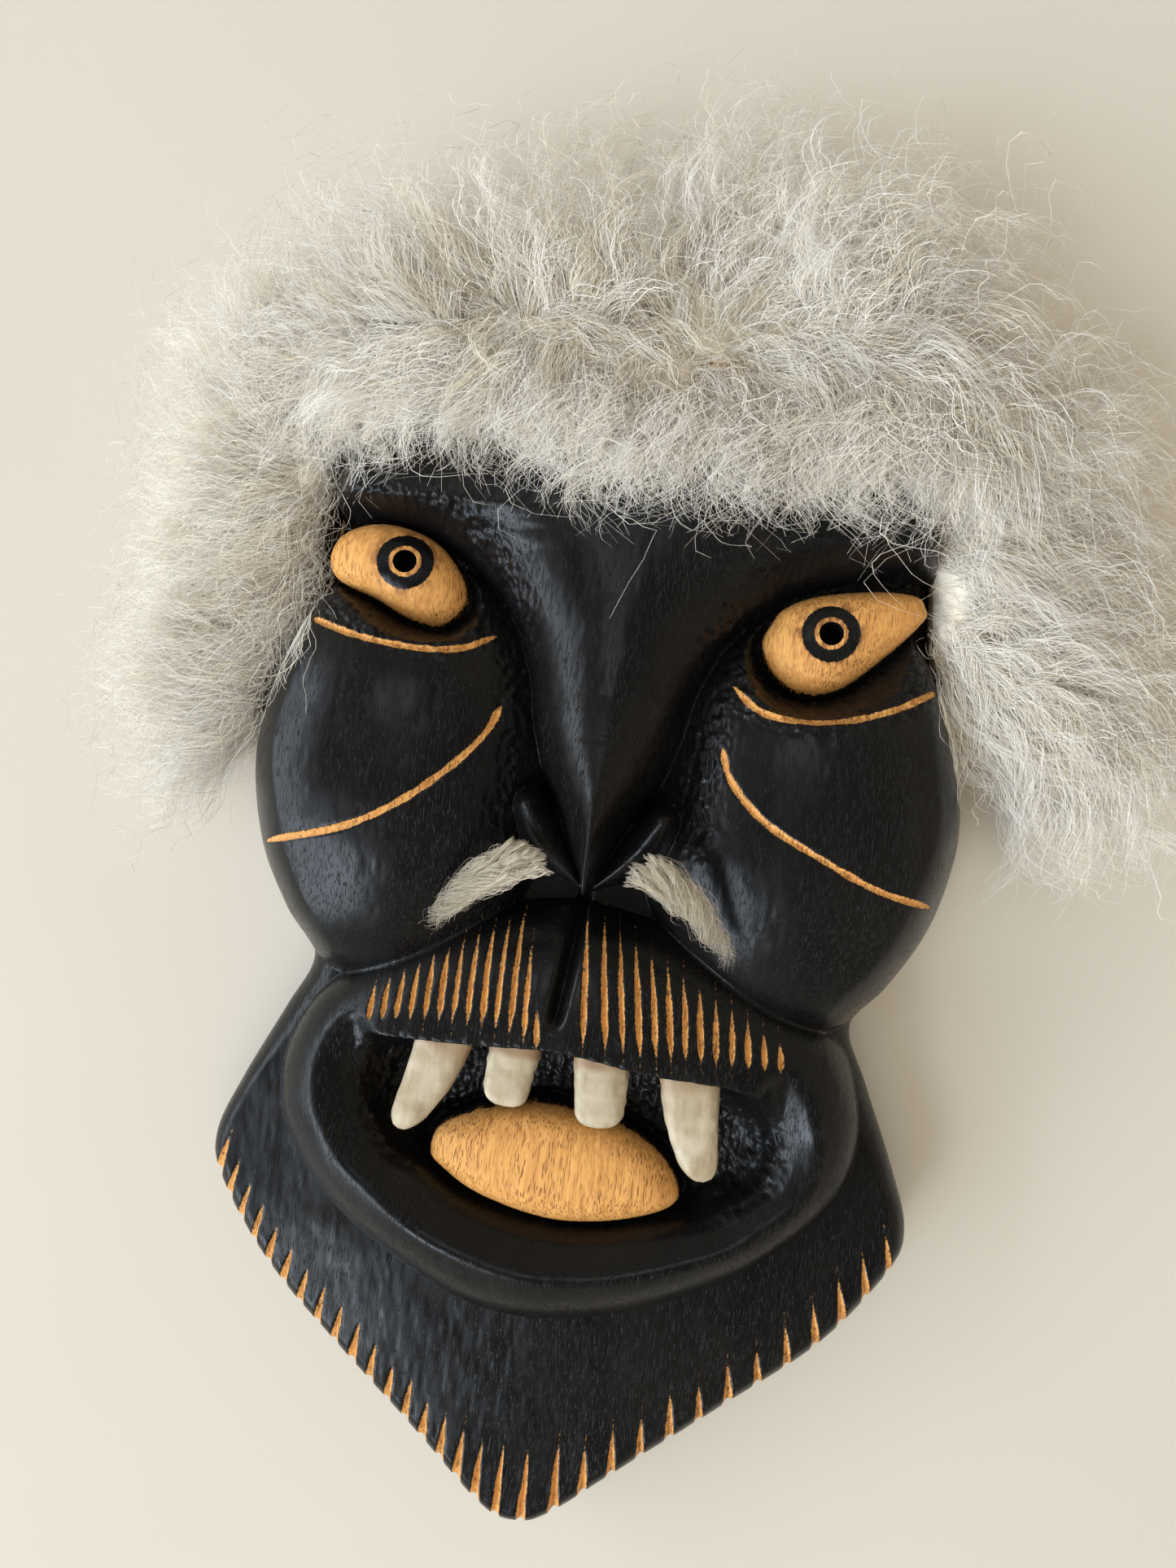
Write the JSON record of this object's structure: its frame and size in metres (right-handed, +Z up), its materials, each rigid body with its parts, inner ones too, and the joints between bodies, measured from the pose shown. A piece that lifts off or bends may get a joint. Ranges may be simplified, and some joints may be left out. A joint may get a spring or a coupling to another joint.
{
  "type": "carved wooden mask",
  "caption": "Carved black-stained wooden wall mask with bare-wood eyes and tongue, bone teeth, incised lines, fleece hair and a small fleece moustache.",
  "frame": {"origin": "the point the mask hangs from: the middle notch of the hanger plate, in the wall plane that the back rim rests on", "axes": "+Z up, +X to the viewer's right, +Y into the wall, so the face looks along -Y; the face is close to mirror symmetric about X = 0"},
  "size_m": [0.3089, 0.0729, 0.3914],
  "materials": {
    "black_wood": "satin black stain over carved open-pored hardwood, bare golden wood on eyes, tongue and cut lines",
    "bone": null,
    "hide": "thin tanned skin",
    "wool": "long crimped cream fleece",
    "steel": "zinc plated"
  },
  "bodies": {
    "root": {"mask_body": "black_wood", "tooth_fang_left": "bone", "tooth_incisor_left": "bone", "tooth_incisor_right": "bone", "tooth_fang_right": "bone", "hide_strip_crown": "hide", "hide_strip_left": "hide", "hide_strip_right": "hide", "fleece_crown": "wool", "fleece_fringe": "wool", "fleece_left": "wool", "fleece_right": "wool", "moustache_left": "wool", "moustache_right": "wool", "hanger_plate": "steel", "hanger_nail_left": "steel", "hanger_nail_right": "steel"}
  },
  "joints": []
}
